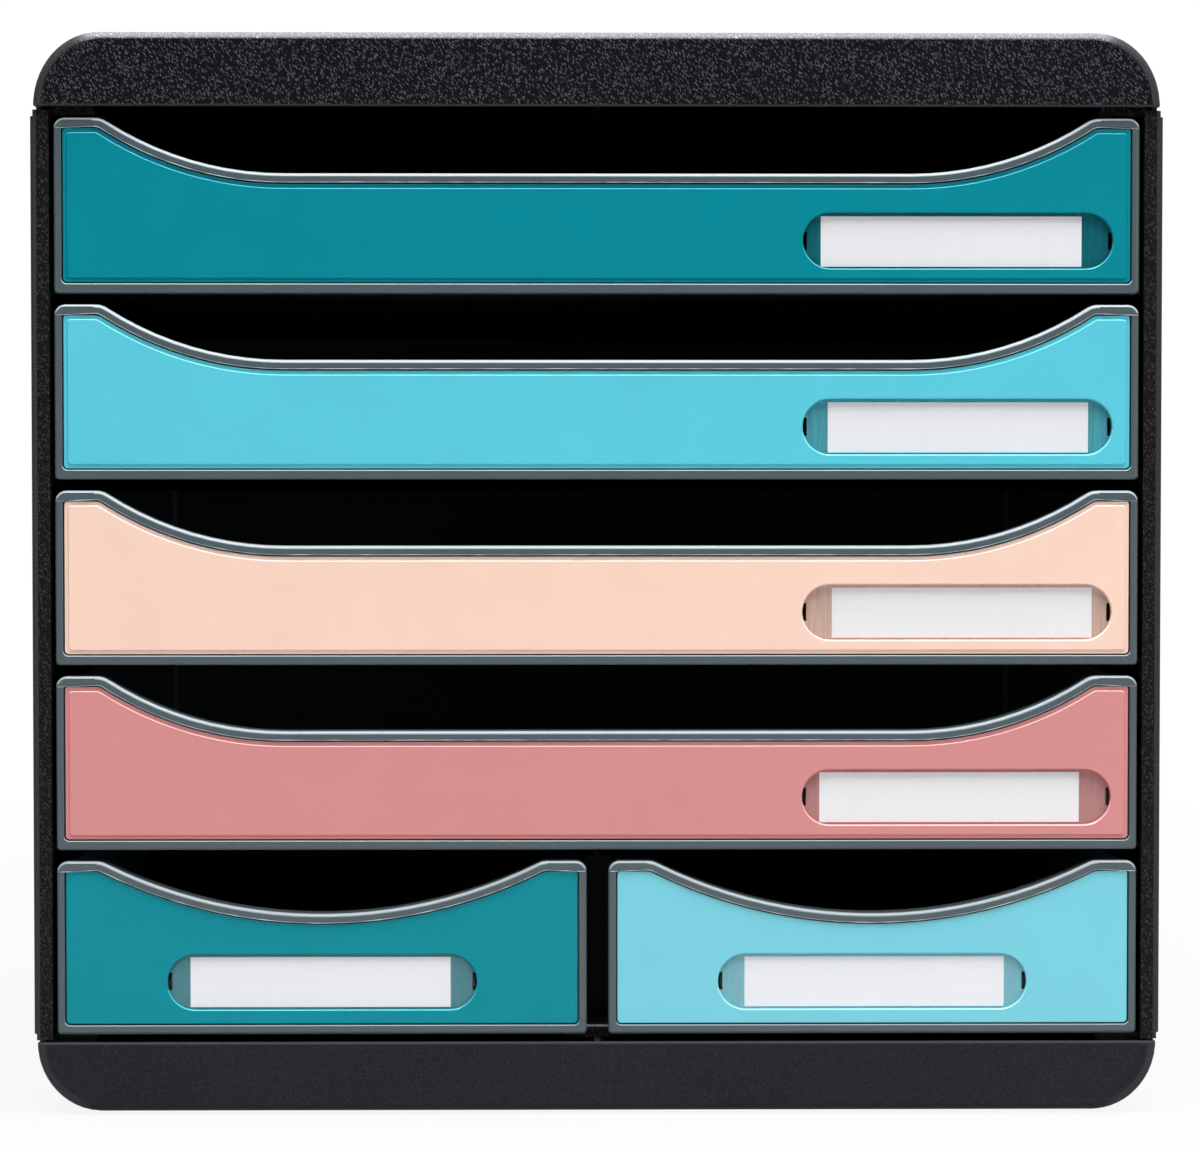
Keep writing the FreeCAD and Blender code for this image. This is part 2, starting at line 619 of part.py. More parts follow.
def make_face_panel(small):
    """The coloured plate with its label recess. The wide ones have a raised field inside a border."""
    half = SMALL_HALF if small else FRONT_HALF
    inset = RIM + PANEL_PLAY
    front = FRONT_Y + PANEL_SET_BACK
    body = plate(front_outline(half, small, inset, front, PANEL_CORNER_ROUND), WEB_Y - front)
    body = body.makeFillet(PANEL_ROUND, outer_edges(body, front))
    face_y = front
    if not small:
        face_y = front - FIELD_STEP
        outline = front_outline(half, small, inset + FIELD_BORDER, face_y, FIELD_CORNER_ROUND)
        field = plate(outline, FIELD_STEP + INTO)
        field = field.makeFillet(FIELD_ROUND, outer_edges(field, face_y))
        body = body.fuse(field).removeSplitter()
    above = face_y - PAST
    opening = obround(window_x(small), WINDOW_UP, WINDOW_LENGTH, WINDOW_HEIGHT, above)
    body = body.cut(plate(opening, WEB_Y - WINDOW_FLOOR - above))
    body = body.makeFillet(RECESS_ROUND, inner_edges(body, face_y))
    through = WEB_Y + PAST - above
    for slot in hook_slots(small, above, through):
        body = body.cut(slot.common(plate(opening, through)))
    return body


# Label windows and labels

def make_label_window(small):
    """The clear cover: an obround sheet, notched at both ends, with hooks and small side nubs."""
    x = window_x(small)
    front = WEB_Y - WINDOW_FLOOR - LABEL_THICKNESS - WINDOW_BACK_GAP - WINDOW_THICKNESS
    length = WINDOW_LENGTH - 2 * WINDOW_PLAY
    height = WINDOW_HEIGHT - 2 * WINDOW_PLAY
    cover_up = WINDOW_UP - COVER_DROP
    sheet = plate(obround(x, cover_up, length, height, front), WINDOW_THICKNESS)
    sheet = sheet.makeFillet(WINDOW_ROUND, outer_edges(sheet, front))
    for slot in hook_slots(small, front - PAST, WINDOW_THICKNESS + 2 * PAST):
        sheet = sheet.cut(slot)
    solids = [sheet]
    for side in (-1, 1):
        inner = x + side * (WINDOW_LENGTH / 2 - SLOT_WIDTH)
        hook_z = (cover_up - HOOK_HEIGHT / 2, cover_up + HOOK_HEIGHT / 2)
        hook_y = (front + HOOK_SET_BACK, front + HOOK_DEPTH)
        solids.append(block((inner, inner + side * HOOK_THICKNESS), hook_y, hook_z))
        nub_z = (cover_up + side * (height / 2 - INTO), WINDOW_UP + side * (WINDOW_HEIGHT / 2 - NUB_PLAY))
        nub_y = (front + NUB_SET_BACK, front + WINDOW_THICKNESS)
        for middle in (x - NUB_STEP, x, x + NUB_STEP):
            solids.append(block((middle - NUB_WIDTH / 2, middle + NUB_WIDTH / 2), nub_y, nub_z))
    return joined(solids)


def make_paper_label(small, shift):
    """The white paper insert, which lies a little off the middle of its window."""
    x = window_x(small) + shift
    y = WEB_Y - WINDOW_FLOOR - LABEL_THICKNESS
    middle = WINDOW_UP - COVER_DROP
    return block((x - LABEL_LENGTH / 2, x + LABEL_LENGTH / 2), (y, WEB_Y - WINDOW_FLOOR),
                 (middle - LABEL_HEIGHT / 2, middle + LABEL_HEIGHT / 2))


# Each drawer: name, row, middle across the unit, half width or not, side of its inner runner,
# and how far its paper label lies off the window's middle
DRAWERS = (
    ("row_1", 1, 0.0, False, 0, -2.0),
    ("row_2", 2, 0.0, False, 0, 0.3),
    ("row_3", 3, 0.0, False, 0, 1.7),
    ("row_4", 4, 0.0, False, 0, -2.1),
    ("lower_left", 5, -SMALL_CENTRE, True, 1, -0.6),
    ("lower_right", 5, SMALL_CENTRE, True, -1, 0.7),
)


def save(shape, node):
    """Writes one sub-part and prints its volume."""
    shape.exportStep("parts/" + node + ".step")
    print(node, "solids", len(shape.Solids), "valid", shape.isValid(), "volume", round(shape.Volume, 1))


right_side_panel = make_right_side_panel()
save(cap(TOP_CAP_HEIGHT, TOP_TONGUE), "top_cap")
save(make_bottom_cap(), "bottom_cap")
save(right_side_panel, "right_side_panel")
save(mirrored_x(right_side_panel), "left_side_panel")
save(make_back_panel(), "back_panel")
save(make_centre_divider(), "centre_divider")
save(make_rubber_feet(), "rubber_feet")
save(make_casing_screws(), "casing_screws")
for name, row, centre, small, inner_side, label_shift in DRAWERS:
    place = V(centre, 0, row_bottom(row))
    pieces = {"tray": make_tray(small, inner_side),
              "face_panel": make_face_panel(small),
              "label_window": make_label_window(small),
              "paper_label": make_paper_label(small, label_shift)}
    for piece, shape in pieces.items():
        shape.translate(place)
        save(shape, piece + "_" + name)
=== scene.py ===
# %% [markdown]
# # Dressing a desktop drawer unit
# The construction of this unit comes in as a fixed frame: casing, trays, coloured face plates and
# label windows, all at their real size in metres. This lesson gives each of them its finish, adds
# the pieces that only show close up, and lights the unit like a catalogue picture.

# %% Load the frame
import math

import bpy
import numpy as np
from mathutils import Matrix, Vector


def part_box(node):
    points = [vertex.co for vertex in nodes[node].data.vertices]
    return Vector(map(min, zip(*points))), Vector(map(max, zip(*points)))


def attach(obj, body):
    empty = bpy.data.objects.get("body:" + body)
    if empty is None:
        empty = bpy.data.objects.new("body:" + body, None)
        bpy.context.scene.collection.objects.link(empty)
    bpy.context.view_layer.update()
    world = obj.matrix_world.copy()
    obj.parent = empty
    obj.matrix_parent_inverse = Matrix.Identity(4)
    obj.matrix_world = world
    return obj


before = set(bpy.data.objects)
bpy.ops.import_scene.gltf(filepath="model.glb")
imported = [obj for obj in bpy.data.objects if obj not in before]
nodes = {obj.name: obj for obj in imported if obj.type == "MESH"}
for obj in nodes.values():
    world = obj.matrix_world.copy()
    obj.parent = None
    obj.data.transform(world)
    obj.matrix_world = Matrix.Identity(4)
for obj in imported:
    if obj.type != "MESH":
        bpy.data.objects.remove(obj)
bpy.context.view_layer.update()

MM = 0.001

# %% [markdown]
# The picture was taken from about a metre away with a long lens, almost square on and a little
# above the middle. A camera is placed by three facts that hang together: where it stands, where it
# looks and how long its lens is. They are set as plain numbers here, not by tracking an object,
# because a tilt of two degrees decides whether the shelves of the unit look level.

# %% Camera
CAMERA_PLACE = (-0.0102, -1.1815, 0.2014)
CAMERA_TILT_DOWN = 1.738
CAMERA_TURN_RIGHT = 0.6
SENSOR_WIDTH = 36.0
LENS = 100.2

camera_data = bpy.data.cameras.new("portrait_camera")
camera_data.sensor_fit = "HORIZONTAL"
camera_data.sensor_width = SENSOR_WIDTH
camera_data.lens = LENS
camera = bpy.data.objects.new("portrait_camera", camera_data)
camera.location = CAMERA_PLACE
camera.rotation_euler = (math.radians(90 - CAMERA_TILT_DOWN), 0, math.radians(-CAMERA_TURN_RIGHT))
bpy.context.scene.collection.objects.link(camera)
bpy.context.scene.camera = camera
print("lens", LENS, "mm at", CAMERA_PLACE)

# %% [markdown]
# Shader maths is easier to read as formulas than as boxes and wires. The class below wraps one
# socket of a node, and its operators add the Math node that works out the result, so that
# `1 - mask * 0.5` writes itself into the material. Colours and directions go through their own
# nodes, because a Math node would turn a colour grey.

# %% A socket that can be added and multiplied
class Wire:
    """A number that varies over a surface: one output socket of a node tree."""

    def __init__(self, tree, socket):
        self.tree = tree
        self.socket = socket

    def maths(self, operation, *others):
        """Adds a Math node for this wire and the others, and returns its result as a wire."""
        node = self.tree.nodes.new("ShaderNodeMath")
        node.operation = operation
        for place, value in enumerate((self,) + others):
            feed(self.tree, node.inputs[place], value)
        return Wire(self.tree, node.outputs[0])

    def __add__(self, other):
        return self.maths("ADD", other)

    def __mul__(self, other):
        return self.maths("MULTIPLY", other)

    def __sub__(self, other):
        return self.maths("SUBTRACT", other)

    def __rsub__(self, other):
        return (self * -1).maths("ADD", other)

    def __truediv__(self, other):
        return self.maths("DIVIDE", other)

    def __pow__(self, other):
        return self.maths("POWER", other)

    def smooth(self, low, high):
        """0 below low, 1 above high and an S-shaped rise between them."""
        node = self.tree.nodes.new("ShaderNodeMapRange")
        node.interpolation_type = "SMOOTHSTEP"
        feed(self.tree, node.inputs["Value"], self)
        node.inputs["From Min"].default_value = low
        node.inputs["From Max"].default_value = high
        return Wire(self.tree, node.outputs["Result"])

    __radd__ = __add__
    __rmul__ = __mul__


def feed(tree, target, value):
    """Gives a socket a wire, a plain socket, a number or a tuple."""
    if isinstance(value, Wire):
        value = value.socket
    if isinstance(value, bpy.types.NodeSocket):
        tree.links.new(value, target)
    else:
        target.default_value = value


print("a wire can:", ", ".join(name.strip("_") for name, part in vars(Wire).items() if callable(part)))

# %% [markdown]
# Every finish starts in the same way: a fresh material with one Principled shader. The small
# workshop class holds its tree, makes any node with its settings and inputs in one call, and hands
# out the object coordinates in millimetres, so that a grain of 1.1 is a real 1.1 mm.

# %% A workshop for materials
# Parts of a surface's direction, from where a change starts to where it is full.
EDGE_RISE = (0.05, 0.35)
EDGE_FORWARD = (0.1, 0.4)
UNDERSIDE = (-0.7, -0.3)


class Finish:
    """One material: its node tree, its Principled shader and the helpers to build a pattern."""

    def __init__(self, name):
        self.material = bpy.data.materials.new(name)
        self.material.use_nodes = True
        self.tree = self.material.node_tree
        self.shader = self.tree.nodes["Principled BSDF"]

    def node(self, kind, settings=None, **values):
        """Makes a node: its settings first, then the values or links of its inputs."""
        made = self.tree.nodes.new("ShaderNode" + kind)
        for key, setting in (settings or {}).items():
            setattr(made, key, setting)
        for key, value in values.items():
            feed(self.tree, made.inputs[key.replace("_", " ")], value)
        return made

    def place(self):
        """Object coordinates in millimetres, as a vector socket."""
        coordinates = self.node("TexCoord").outputs["Object"]
        scaled = self.node("VectorMath", {"operation": "SCALE"}, Vector=coordinates, Scale=1 / MM)
        return scaled.outputs[0]

    def axis(self, vector, name):
        """One part, X, Y or Z, of a vector socket."""
        return Wire(self.tree, self.node("SeparateXYZ", Vector=vector).outputs[name])

    def noise(self, vector, size, detail=2.0):
        """Soft cloudy noise from 0 to 1 whose blobs are about that many millimetres wide."""
        made = self.node("TexNoise", Vector=vector, Scale=1 / size, Detail=detail)
        return Wire(self.tree, made.outputs["Fac"])

    def warped(self, vector, size, reach):
        """The vector pushed about by noise of that size, by up to that many millimetres."""
        wobble = self.node("TexNoise", Vector=vector, Scale=1 / size).outputs["Color"]
        middle = self.node("VectorMath", {"operation": "SUBTRACT"}, Vector=wobble)
        middle.inputs[1].default_value = (0.5, 0.5, 0.5)
        push = self.node("VectorMath", {"operation": "SCALE"}, Vector=middle.outputs[0], Scale=2 * reach)
        moved = self.node("VectorMath", {"operation": "ADD"}, Vector=vector)
        feed(self.tree, moved.inputs[1], push.outputs[0])
        return moved.outputs[0]

    def turned(self, vector, degrees):
        """The vector turned about the Y axis, so that a pattern leans when it is seen from the front."""
        return self.node("Mapping", Vector=vector, Rotation=(0, math.radians(degrees), 0)).outputs[0]

    def stretched(self, vector, factors):
        """The vector with each of its parts multiplied by a number."""
        made = self.node("VectorMath", {"operation": "MULTIPLY"}, Vector=vector)
        made.inputs[1].default_value = factors
        return made.outputs[0]

    def facing_up(self):
        """1 where a rounded edge looks up and forward, 0 on flat fronts, on level tops and elsewhere."""
        normal = self.node("TexCoord").outputs["Normal"]
        rise = self.axis(normal, "Z")
        forward = self.axis(normal, "Y") * -1
        return rise.smooth(*EDGE_RISE) * forward.smooth(*EDGE_FORWARD)

    def not_under(self):
        """0 on undersides, 1 elsewhere."""
        return self.axis(self.node("TexCoord").outputs["Normal"], "Z").smooth(*UNDERSIDE)

    def dots(self, vector, size):
        """Distance, in cells, from the nearest of scattered dots, with one dot in each cell of that size."""
        made = self.node("TexVoronoi", Vector=vector, Scale=1 / size)
        return Wire(self.tree, made.outputs["Distance"])

    def mix(self, share, first, second):
        """A colour between two others."""
        made = self.node("Mix", {"data_type": "RGBA"})
        feed(self.tree, made.inputs[0], share)
        feed(self.tree, made.inputs[6], first)
        feed(self.tree, made.inputs[7], second)
        return made.outputs[2]

    def bump(self, height, depth):
        """Relief of that many millimetres from a height of 0 to 1, fed to the shader's normal."""
        made = self.node("Bump", Height=height, Strength=1.0, Distance=depth * MM)
        self.set(Normal=made.outputs["Normal"])

    def end_with(self, share, under, over):
        """Ends the material in two shaders, mixed by the share of the second one."""
        blend = self.node("MixShader")
        for place, value in enumerate((share, under, over)):
            feed(self.tree, blend.inputs[place], value)
        feed(self.tree, self.tree.nodes["Material Output"].inputs["Surface"], blend.outputs[0])

    def set(self, **values):
        """Sets inputs of the shader by name, with _ for a space."""
        for key, value in values.items():
            feed(self.tree, self.shader.inputs[key.replace("_", " ")], value)
        return self


def colour(red, green, blue):
    """A display colour, 0 to 255 each, as the linear values that shaders add up."""
    shares = np.array([red, green, blue]) / 255
    linear = np.where(shares <= 0.04045, shares / 12.92, ((shares + 0.055) / 1.055) ** 2.4)
    return (*linear.tolist(), 1.0)


def scaled_colour(base, factor, white=0.0):
    """The same colour, lighter or darker, with some white added."""
    return (*[min(1.0, c * factor + white) for c in base[:3]], 1.0)


def tell(material):
    """Prints how many nodes a finish has."""
    print(material.name, "with", len(material.node_tree.nodes), "nodes")


print("middle grey as linear light:", round(colour(128, 128, 128)[0], 3))

# %% [markdown]
# The casing is black polystyrene from an etched mould. Its grain is like fine leather: pebbles a
# little over a millimetre long that all lean the same way. It could be carved into the mesh, but
# relief of a tenth of a millimetre only shows by its shading, so a bump map is enough. One scatter
# of dots makes all of it. Each pebble is a low dome round its dot, and a glint is painted on its tip
# as a short light dash, a dash because the dots are stretched along the lean. Rounded edges that
# look up are painted lighter as a highlight. The grain stops short of the moulding's edges, where
# a strip is smooth and painted a little lighter as a reflection.

# %% Grained casing plastic
# The lean in degrees, and how much the pattern is squeezed along each axis after it.
GRAIN_LEAN = -56.0
GRAIN_STRETCH = (0.52, 1.0, 1.5)
# Distances from a dot, in pebbles: where a painted glint's dash starts to fade and ends,
# and where a dome ends.
DASH_CORE = 0.16
DASH_RIM = 0.46
DOME_RIM = 0.6
# The dots stray on waves this many pebbles long, by up to this share of a pebble.
WARP_SIZE = 2.2
WARP_REACH = 0.3
# Slow patches, in millimetres, and their darkest and lightest tone.
PATCH_SIZE = 38.0
PATCH_TONES = (0.8, 1.2)
DOME_RELIEF = 0.85
FINE_RELIEF = 0.15
CASING_GLOSS = 0.12
# A painted reflection on the smooth strips.
STRIP_REFLECTION_GREY = colour(59, 58, 61)
# A painted highlight on rounded edges that look up, and the brighter painted glints there.
TOP_HIGHLIGHT_GREY = colour(134, 133, 139)
TOP_HIGHLIGHT_GLINTS = colour(212, 210, 217)


def grained_plastic(name, base, glint_colour, pebble, depth, shine, strips):
    """Black plastic with leather grain: pebble size and depth in millimetres, shine as roughness.

    The second colour is that of the glints painted on the pebble tips. strips is a function that
    takes the finish and its coordinates and gives 1 on the smooth strips, painted lighter as a
    reflection. Edges that look up are painted lighter all over as a highlight. A dome falls from 1
    at its dot to 0 at its rim, and a painted glint the same on a smaller rim, times a slow noise so
    that some glints are fainter than others.
    """
    finish = Finish(name)
    here = finish.place()
    smooth = strips(finish, here)
    leaning = finish.stretched(finish.turned(here, GRAIN_LEAN), GRAIN_STRETCH)
    away = finish.dots(finish.warped(leaning, pebble * WARP_SIZE, pebble * WARP_REACH), pebble)
    dome = 1 - away.smooth(0.0, DOME_RIM)
    strength = finish.noise(here, pebble * 2.0).smooth(0.3, 0.7) * 0.5 + 0.5
    # Painted glints: a short light dash on each pebble tip, none on undersides.
    painted_glints = (1 - away.smooth(DASH_CORE, DASH_RIM)) * strength * finish.not_under()
    fine = finish.noise(here, pebble * 0.3)
    patches = finish.noise(here, PATCH_SIZE, 3.0)
    # Painted highlight: rounded edges that look up are lighter, outside the smooth strips.
    lit_from_above = finish.facing_up() * (1 - smooth)
    ground = finish.mix(patches, *[scaled_colour(base, tone) for tone in PATCH_TONES])
    ground = finish.mix(lit_from_above, ground, TOP_HIGHLIGHT_GREY)
    grained = finish.mix(painted_glints, ground, finish.mix(lit_from_above, glint_colour, TOP_HIGHLIGHT_GLINTS))
    # The smooth strips are painted lighter as a reflection.
    finish.set(Base_Color=finish.mix(smooth, grained, STRIP_REFLECTION_GREY))
    finish.set(Roughness=fine * 0.08 + smooth * 0.1 - dome * 0.12 + shine, Specular_IOR_Level=CASING_GLOSS)
    finish.bump((dome * DOME_RELIEF + fine * FINE_RELIEF) * (1 - smooth), depth)
    return finish.material


# %% [markdown]
# The strips follow the shape of each moulding, so they are worked out from the place in
# millimetres. Painting them on a map would be the other way, but a formula stays sharp close up
# and follows the construction when that changes.

# %% Smooth strips, and the three casing finishes
# Places are in millimetres. A pair runs from where a strip starts to where it is full.
TOP_CAP_HEIGHT = 23.0
BOTTOM_CAP_HEIGHT = 21.7
BOTTOM_CAP_RIM = 22.7
CAP_END_MIDDLE = 155.8
CAP_END_REACH = 20.5
CAP_FRONT_EDGE = (-133.0, -132.2)
RING = (0.72, 0.8)
RING_FROM = (158.0, 165.0)
RING_SHARE = 0.85
STRAIGHT_LINE = (0.35, 0.6)
PANEL_CORNER = (175.2, 175.7)
PANEL_FRONT = (-131.4, -130.8)
PANEL_SHARE = 0.8


def cap_strips(rim_z, height, up):
    """The smooth strips of a cap: round its ends and along its straight edge at the height rim_z.

    The ends are quarter ellipses, so the squares of a point's shares of the two half axes add up
    to 1 on the edge and to less inside. up is 1 for the top cap and -1 for the bottom one.
    """
    def strips(finish, here):
        across = finish.axis(here, "X").maths("ABSOLUTE")
        above = (finish.axis(here, "Z") - rim_z) * up
        near_front = 1 - finish.axis(here, "Y").smooth(*CAP_FRONT_EDGE)
        out = (across - CAP_END_MIDDLE).maths("MAXIMUM", 0.0) / CAP_END_REACH
        rise = above / height
        ring = (out * out + rise * rise).smooth(*RING) * across.smooth(*RING_FROM) * RING_SHARE
        line = 1 - above.smooth(*STRAIGHT_LINE)
        return ring.maths("MAXIMUM", line) * near_front
    return strips


def panel_strips(finish, here):
    """The smooth strip down a side panel's rounded front corner."""
    corner = finish.axis(here, "X").maths("ABSOLUTE").smooth(*PANEL_CORNER)
    return corner * (1 - finish.axis(here, "Y").smooth(*PANEL_FRONT)) * PANEL_SHARE


top_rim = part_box("top_cap")[1][2] / MM
# After each base colour comes the colour of its painted glints.
cap_plastic = grained_plastic("grained_black_cap", colour(15, 13, 18), colour(100, 98, 105),
                              pebble=0.7, depth=0.12, shine=0.42,
                              strips=cap_strips(top_rim - TOP_CAP_HEIGHT, TOP_CAP_HEIGHT, 1))
panel_plastic = grained_plastic("grained_black_panel", colour(18, 18, 19), colour(66, 66, 68),
                                pebble=0.7, depth=0.12, shine=0.45, strips=panel_strips)
# The bottom cap's base colour is lighter than the top cap's, as a painted reflection of the white floor.
base_plastic = grained_plastic("fine_grained_black", colour(35, 32, 39), colour(56, 53, 60),
                               pebble=0.5, depth=0.05, shine=0.5,
                               strips=cap_strips(BOTTOM_CAP_RIM, BOTTOM_CAP_HEIGHT, -1))
for material in (cap_plastic, panel_plastic, base_plastic):
    tell(material)

# %% [markdown]
# The trays are moulded in dark blue-grey from a polished mould, so they have no grain, only the
# faint orange-peel of any thick moulding and a slightly uneven shine. Rounded edges that look up
# are painted lighter as a highlight, and on the trays more so the higher a drawer stands.
#
# The same recipe makes the face plates. Their label recess lies behind a clear cover, and its floor
# is painted darker as shade; the lower a drawer stands, the more its floor is painted paler and
# greyer instead, as a reflection of the white table in its cover.

# %% Smooth drawer plastic
# Places and sizes are in millimetres, and the recess starts that far in front of the paper's back.
RECESS_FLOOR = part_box("paper_label_row_1")[1][1] / MM
RECESS_SHADE = 0.45
RECESS_HEIGHTS = (40.0, 320.0)
RECESS_START = -0.5
RECESS_FULL = -0.15
STREAK_STRETCH = (1.0, 0.02, 0.02)
STREAK_SIZE = 0.45
STREAK_SHARE = 0.3
PEEL_SIZE = 1.6
CLOUD_SIZE = 22.0
CLOUD_TONES = (0.95, 1.05)
# The trays' painted edge highlight and their coat grow with height: a share at the floor, plus this much
# over this many millimetres.
HEIGHT_SHARE_LOW = 0.4
HEIGHT_SHARE_RISE = 0.6
HEIGHT_SHARE_SPAN = 340
FRONT_DEPTH = (-125.0, -124.0)
LACQUER_ROUGHNESS = 0.22
EDGE_COAT = 0.5
EDGE_COAT_ROUGHNESS = 0.15


def smooth_plastic(name, base, shine, ripple, edge=None, gloss=0.3, lacquer=0.0, recess=None):
    """Satin plastic with a faint orange-peel surface: shine is its roughness, ripple its depth in mm.

    edge is the colour of a painted highlight on its rounded upper edges, and gloss its specular
    level. lacquer is how much shinier the front of a tray is than its inside, and it grows with the
    height of the drawer, as the painted highlight on the tray's edges does. recess is the colour of
    the label recess floor on the lowest drawers, a painted reflection of the white table in the cover;
    on the upper ones the floor is only painted darker than the front, as shade.
    """
    finish = Finish(name)
    here = finish.place()
    peel = finish.noise(here, PEEL_SIZE, 3.0)
    clouds = finish.noise(here, CLOUD_SIZE, 3.0)
    body = finish.mix(clouds, *[scaled_colour(base, tone) for tone in CLOUD_TONES])
    rise_with_height = finish.axis(here, "Z") * (HEIGHT_SHARE_RISE / HEIGHT_SHARE_SPAN) + HEIGHT_SHARE_LOW
    # Painted highlight: rounded edges that look up turn towards the edge colour, on the trays less so the
    # lower they stand.
    if edge:
        body = finish.mix(finish.facing_up() * (rise_with_height if lacquer else 1.0), body, edge)
    # The recess floor is painted: darker as shade on the upper drawers, paler and greyer as a reflection of
    # the white table on the lowest, except along the cover's streaks.
    if recess:
        streaks = finish.noise(finish.stretched(here, STREAK_STRETCH), STREAK_SIZE)
        streaks = streaks.smooth(0.4, 0.6) * STREAK_SHARE
        height = finish.axis(here, "Z").smooth(*RECESS_HEIGHTS)
        floor = finish.mix(height, recess, scaled_colour(base, RECESS_SHADE))
        deep = finish.axis(here, "Y").smooth(RECESS_FLOOR + RECESS_START, RECESS_FLOOR + RECESS_FULL)
        body = finish.mix(deep * (1 - streaks), body, floor)
        finish.set(Coat_Weight=finish.facing_up() * EDGE_COAT, Coat_Roughness=EDGE_COAT_ROUGHNESS)
    finish.set(Base_Color=body, Specular_IOR_Level=gloss)
    if lacquer:
        front = 1 - finish.axis(here, "Y").smooth(*FRONT_DEPTH)
        finish.set(Coat_Weight=front * rise_with_height * lacquer, Coat_Roughness=LACQUER_ROUGHNESS)
    finish.set(Roughness=clouds * 0.1 + peel * 0.05 + shine)
    finish.bump(peel, ripple)
    return finish.material


# The edge colour is a painted highlight on the trays' rounded upper edges.
drawer_plastic = smooth_plastic("drawer_grey", colour(81, 94, 99), shine=0.26, ripple=0.008,
                                edge=colour(200, 211, 216), gloss=0.25, lacquer=0.6)
tell(drawer_plastic)

# %% [markdown]
# The face plates carry the colour of the whole unit. They are the same kind of plastic as the
# trays, in teal, light blue, peach and pink. The two small drawers repeat the first two a shade
# paler, as a painted reflection of the white table below them. One recipe with a table of tones is
# enough for all six, so that a change of finish reaches every plate. Their thin raised edges that
# look up carry a painted highlight in a clearer tone than the flat plate.

# %% Coloured face plates
# The painted highlight on the plates' upper edges: how much lighter than the plate, plus white.
EDGE_HIGHLIGHT_GAIN = 2.0
EDGE_HIGHLIGHT_WHITE = 0.08
# The painted reflection of the white table on the lowest recess floors: share of the plate's tone, plus
# white.
RECESS_REFLECTION_SHARE = 0.62
RECESS_REFLECTION_WHITE = 0.07
DRAWER_COLOURS = {"row_1": colour(0, 137, 152),
                  "row_2": colour(93, 204, 223),
                  "row_3": colour(253, 215, 196),
                  "row_4": colour(217, 144, 143),
                  # The two small drawers are a shade paler as a painted reflection of the white table.
                  "lower_left": colour(16, 142, 155),
                  "lower_right": colour(126, 212, 227)}
face_plastics = {}
for drawer, tone in DRAWER_COLOURS.items():
    # glow is each plate's painted edge highlight, and the next tone its recess floor's painted reflection.
    glow = scaled_colour(tone, EDGE_HIGHLIGHT_GAIN, EDGE_HIGHLIGHT_WHITE)
    recess_reflection = scaled_colour(tone, RECESS_REFLECTION_SHARE, RECESS_REFLECTION_WHITE)
    face_plastics[drawer] = smooth_plastic("face_" + drawer, tone, shine=0.36, ripple=0.006,
                                           edge=glow, gloss=0.12, recess=recess_reflection)
print("drawers:", ", ".join(face_plastics))

# %% [markdown]
# Paper looks flat and bright, but up close it has a cloudy tone from its fibres and no shine. A
# plain white would do from far off, but behind the clear cover it would look like a lamp.

# %% Label paper
FIBRE_SIZE = 0.35
FIBRE_BEND = 1.2
FIBRE_REACH = 0.6
FIBRE_RELIEF = 0.01


def paper():
    """White paper with a faint fibre cloud."""
    finish = Finish("label_paper")
    here = finish.place()
    fibres = finish.noise(finish.warped(here, FIBRE_BEND, FIBRE_REACH), FIBRE_SIZE, 4.0)
    finish.set(Base_Color=finish.mix(fibres, colour(247, 247, 252), colour(255, 255, 255)))
    finish.set(Roughness=fibres * 0.1 + 0.75)
    finish.bump(fibres, FIBRE_RELIEF)
    return finish.material


label_paper = paper()
tell(label_paper)

# %% [markdown]
# The covers are clear polystyrene a millimetre thick. Glass could be traced for real, with a ray
# bent at each surface, but through such a flat sheet the only things that show are a faint mirror
# and a faint tint. So light passes straight through a tinted Transparent shader, and a few percent
# of it is mirrored instead, more at a glancing angle and on the fine scratches all over it.

# %% Clear window plastic
COVER_MIRROR = 0.018
COVER_GLANCE = 0.5
COVER_SCRATCHES = 0.015
COVER_TINT = (0.99, 0.99, 0.99, 1.0)
HAZE_SIZE = 9.0
SCRATCH_STRETCH = (1.0, 0.2, 0.02)
SCRATCH_SIZE = 0.7
SCRATCH_EDGE = (0.5, 0.75)


def clear_plastic():
    """Clear polystyrene: a share of a smooth white mirror over a faint tint.

    The share is a small constant, plus the scratches, plus the cube of how much the surface is
    seen at a glancing angle.
    """
    finish = Finish("window_clear")
    here = finish.place()
    finish.set(Base_Color=colour(250, 252, 253), Metallic=1.0)
    haze = finish.noise(here, HAZE_SIZE, 4.0)
    finish.set(Roughness=haze * 0.1 + 0.05)
    glance = Wire(finish.tree, finish.node("LayerWeight", Blend=0.35).outputs["Facing"])
    lines = finish.noise(finish.stretched(here, SCRATCH_STRETCH), SCRATCH_SIZE).smooth(*SCRATCH_EDGE)
    share = glance ** 3 * COVER_GLANCE + lines * COVER_SCRATCHES + COVER_MIRROR
    tint = finish.node("BsdfTransparent", Color=COVER_TINT)
    finish.end_with(share, tint.outputs[0], finish.shader.outputs[0])
    return finish.material


window_clear = clear_plastic()
tell(window_clear)

# %% [markdown]
# The small parts hide under and inside the casing: rubber pads and zinc-plated screws. Neither
# needs a pattern of its own. The satin recipe with a high roughness looks like rubber, and with its
# metallic value at 1 like metal. The same recipe, paler and glossier and with a painted highlight
# on its upper edges, is kept for the thin line of plastic along the rims, which is made further down.

# %% Rubber, screws and flash
foot_rubber = smooth_plastic("foot_rubber", colour(28, 28, 30), shine=0.75, ripple=0.03)
screw_steel = smooth_plastic("screw_steel", colour(165, 167, 170), shine=0.28, ripple=0.005)
screw_steel.node_tree.nodes["Principled BSDF"].inputs["Metallic"].default_value = 1.0
